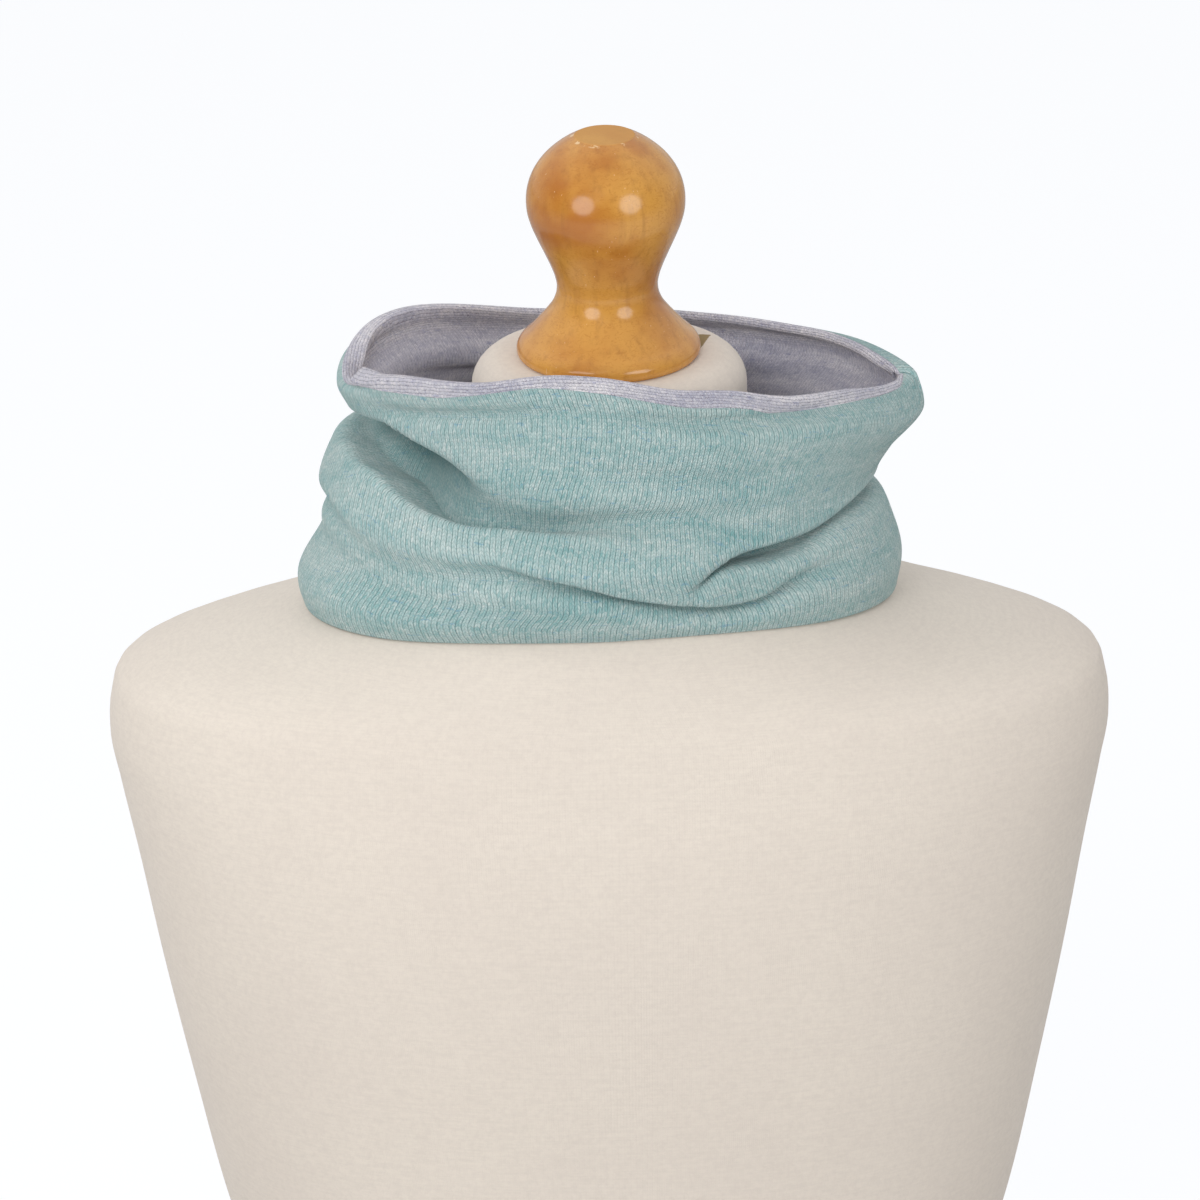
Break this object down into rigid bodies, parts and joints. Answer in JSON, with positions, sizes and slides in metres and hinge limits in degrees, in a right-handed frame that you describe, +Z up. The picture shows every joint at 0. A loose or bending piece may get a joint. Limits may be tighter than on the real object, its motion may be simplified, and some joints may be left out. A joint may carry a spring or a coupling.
{
  "type": "neck warmer on dress form",
  "caption": "Knitted tube neck warmer slumped in soft folds round the neck of a limbless jersey-covered dress form with a turned wood finial.",
  "frame": {"origin": "middle of the dress form's flat underside, which is the bottom centre of the whole part's box", "axes": "+Z up; -Y the front, where the cloth is seen; +X the right-hand side in that view"},
  "size_m": [0.386, 0.216, 0.5897],
  "materials": {
    "aqua_knit": "soft melange jersey knit, matt with a short fuzz",
    "grey_knit": "soft melange jersey knit, matt with a short fuzz",
    "cream_jersey": "very fine matt jersey drawn tight over the form",
    "varnished_wood": "glossy amber varnish over turned wood"
  },
  "bodies": {
    "root": {"outer_shell": "aqua_knit", "lining": "grey_knit", "dress_form": "cream_jersey", "wood_finial": "varnished_wood"}
  },
  "joints": []
}
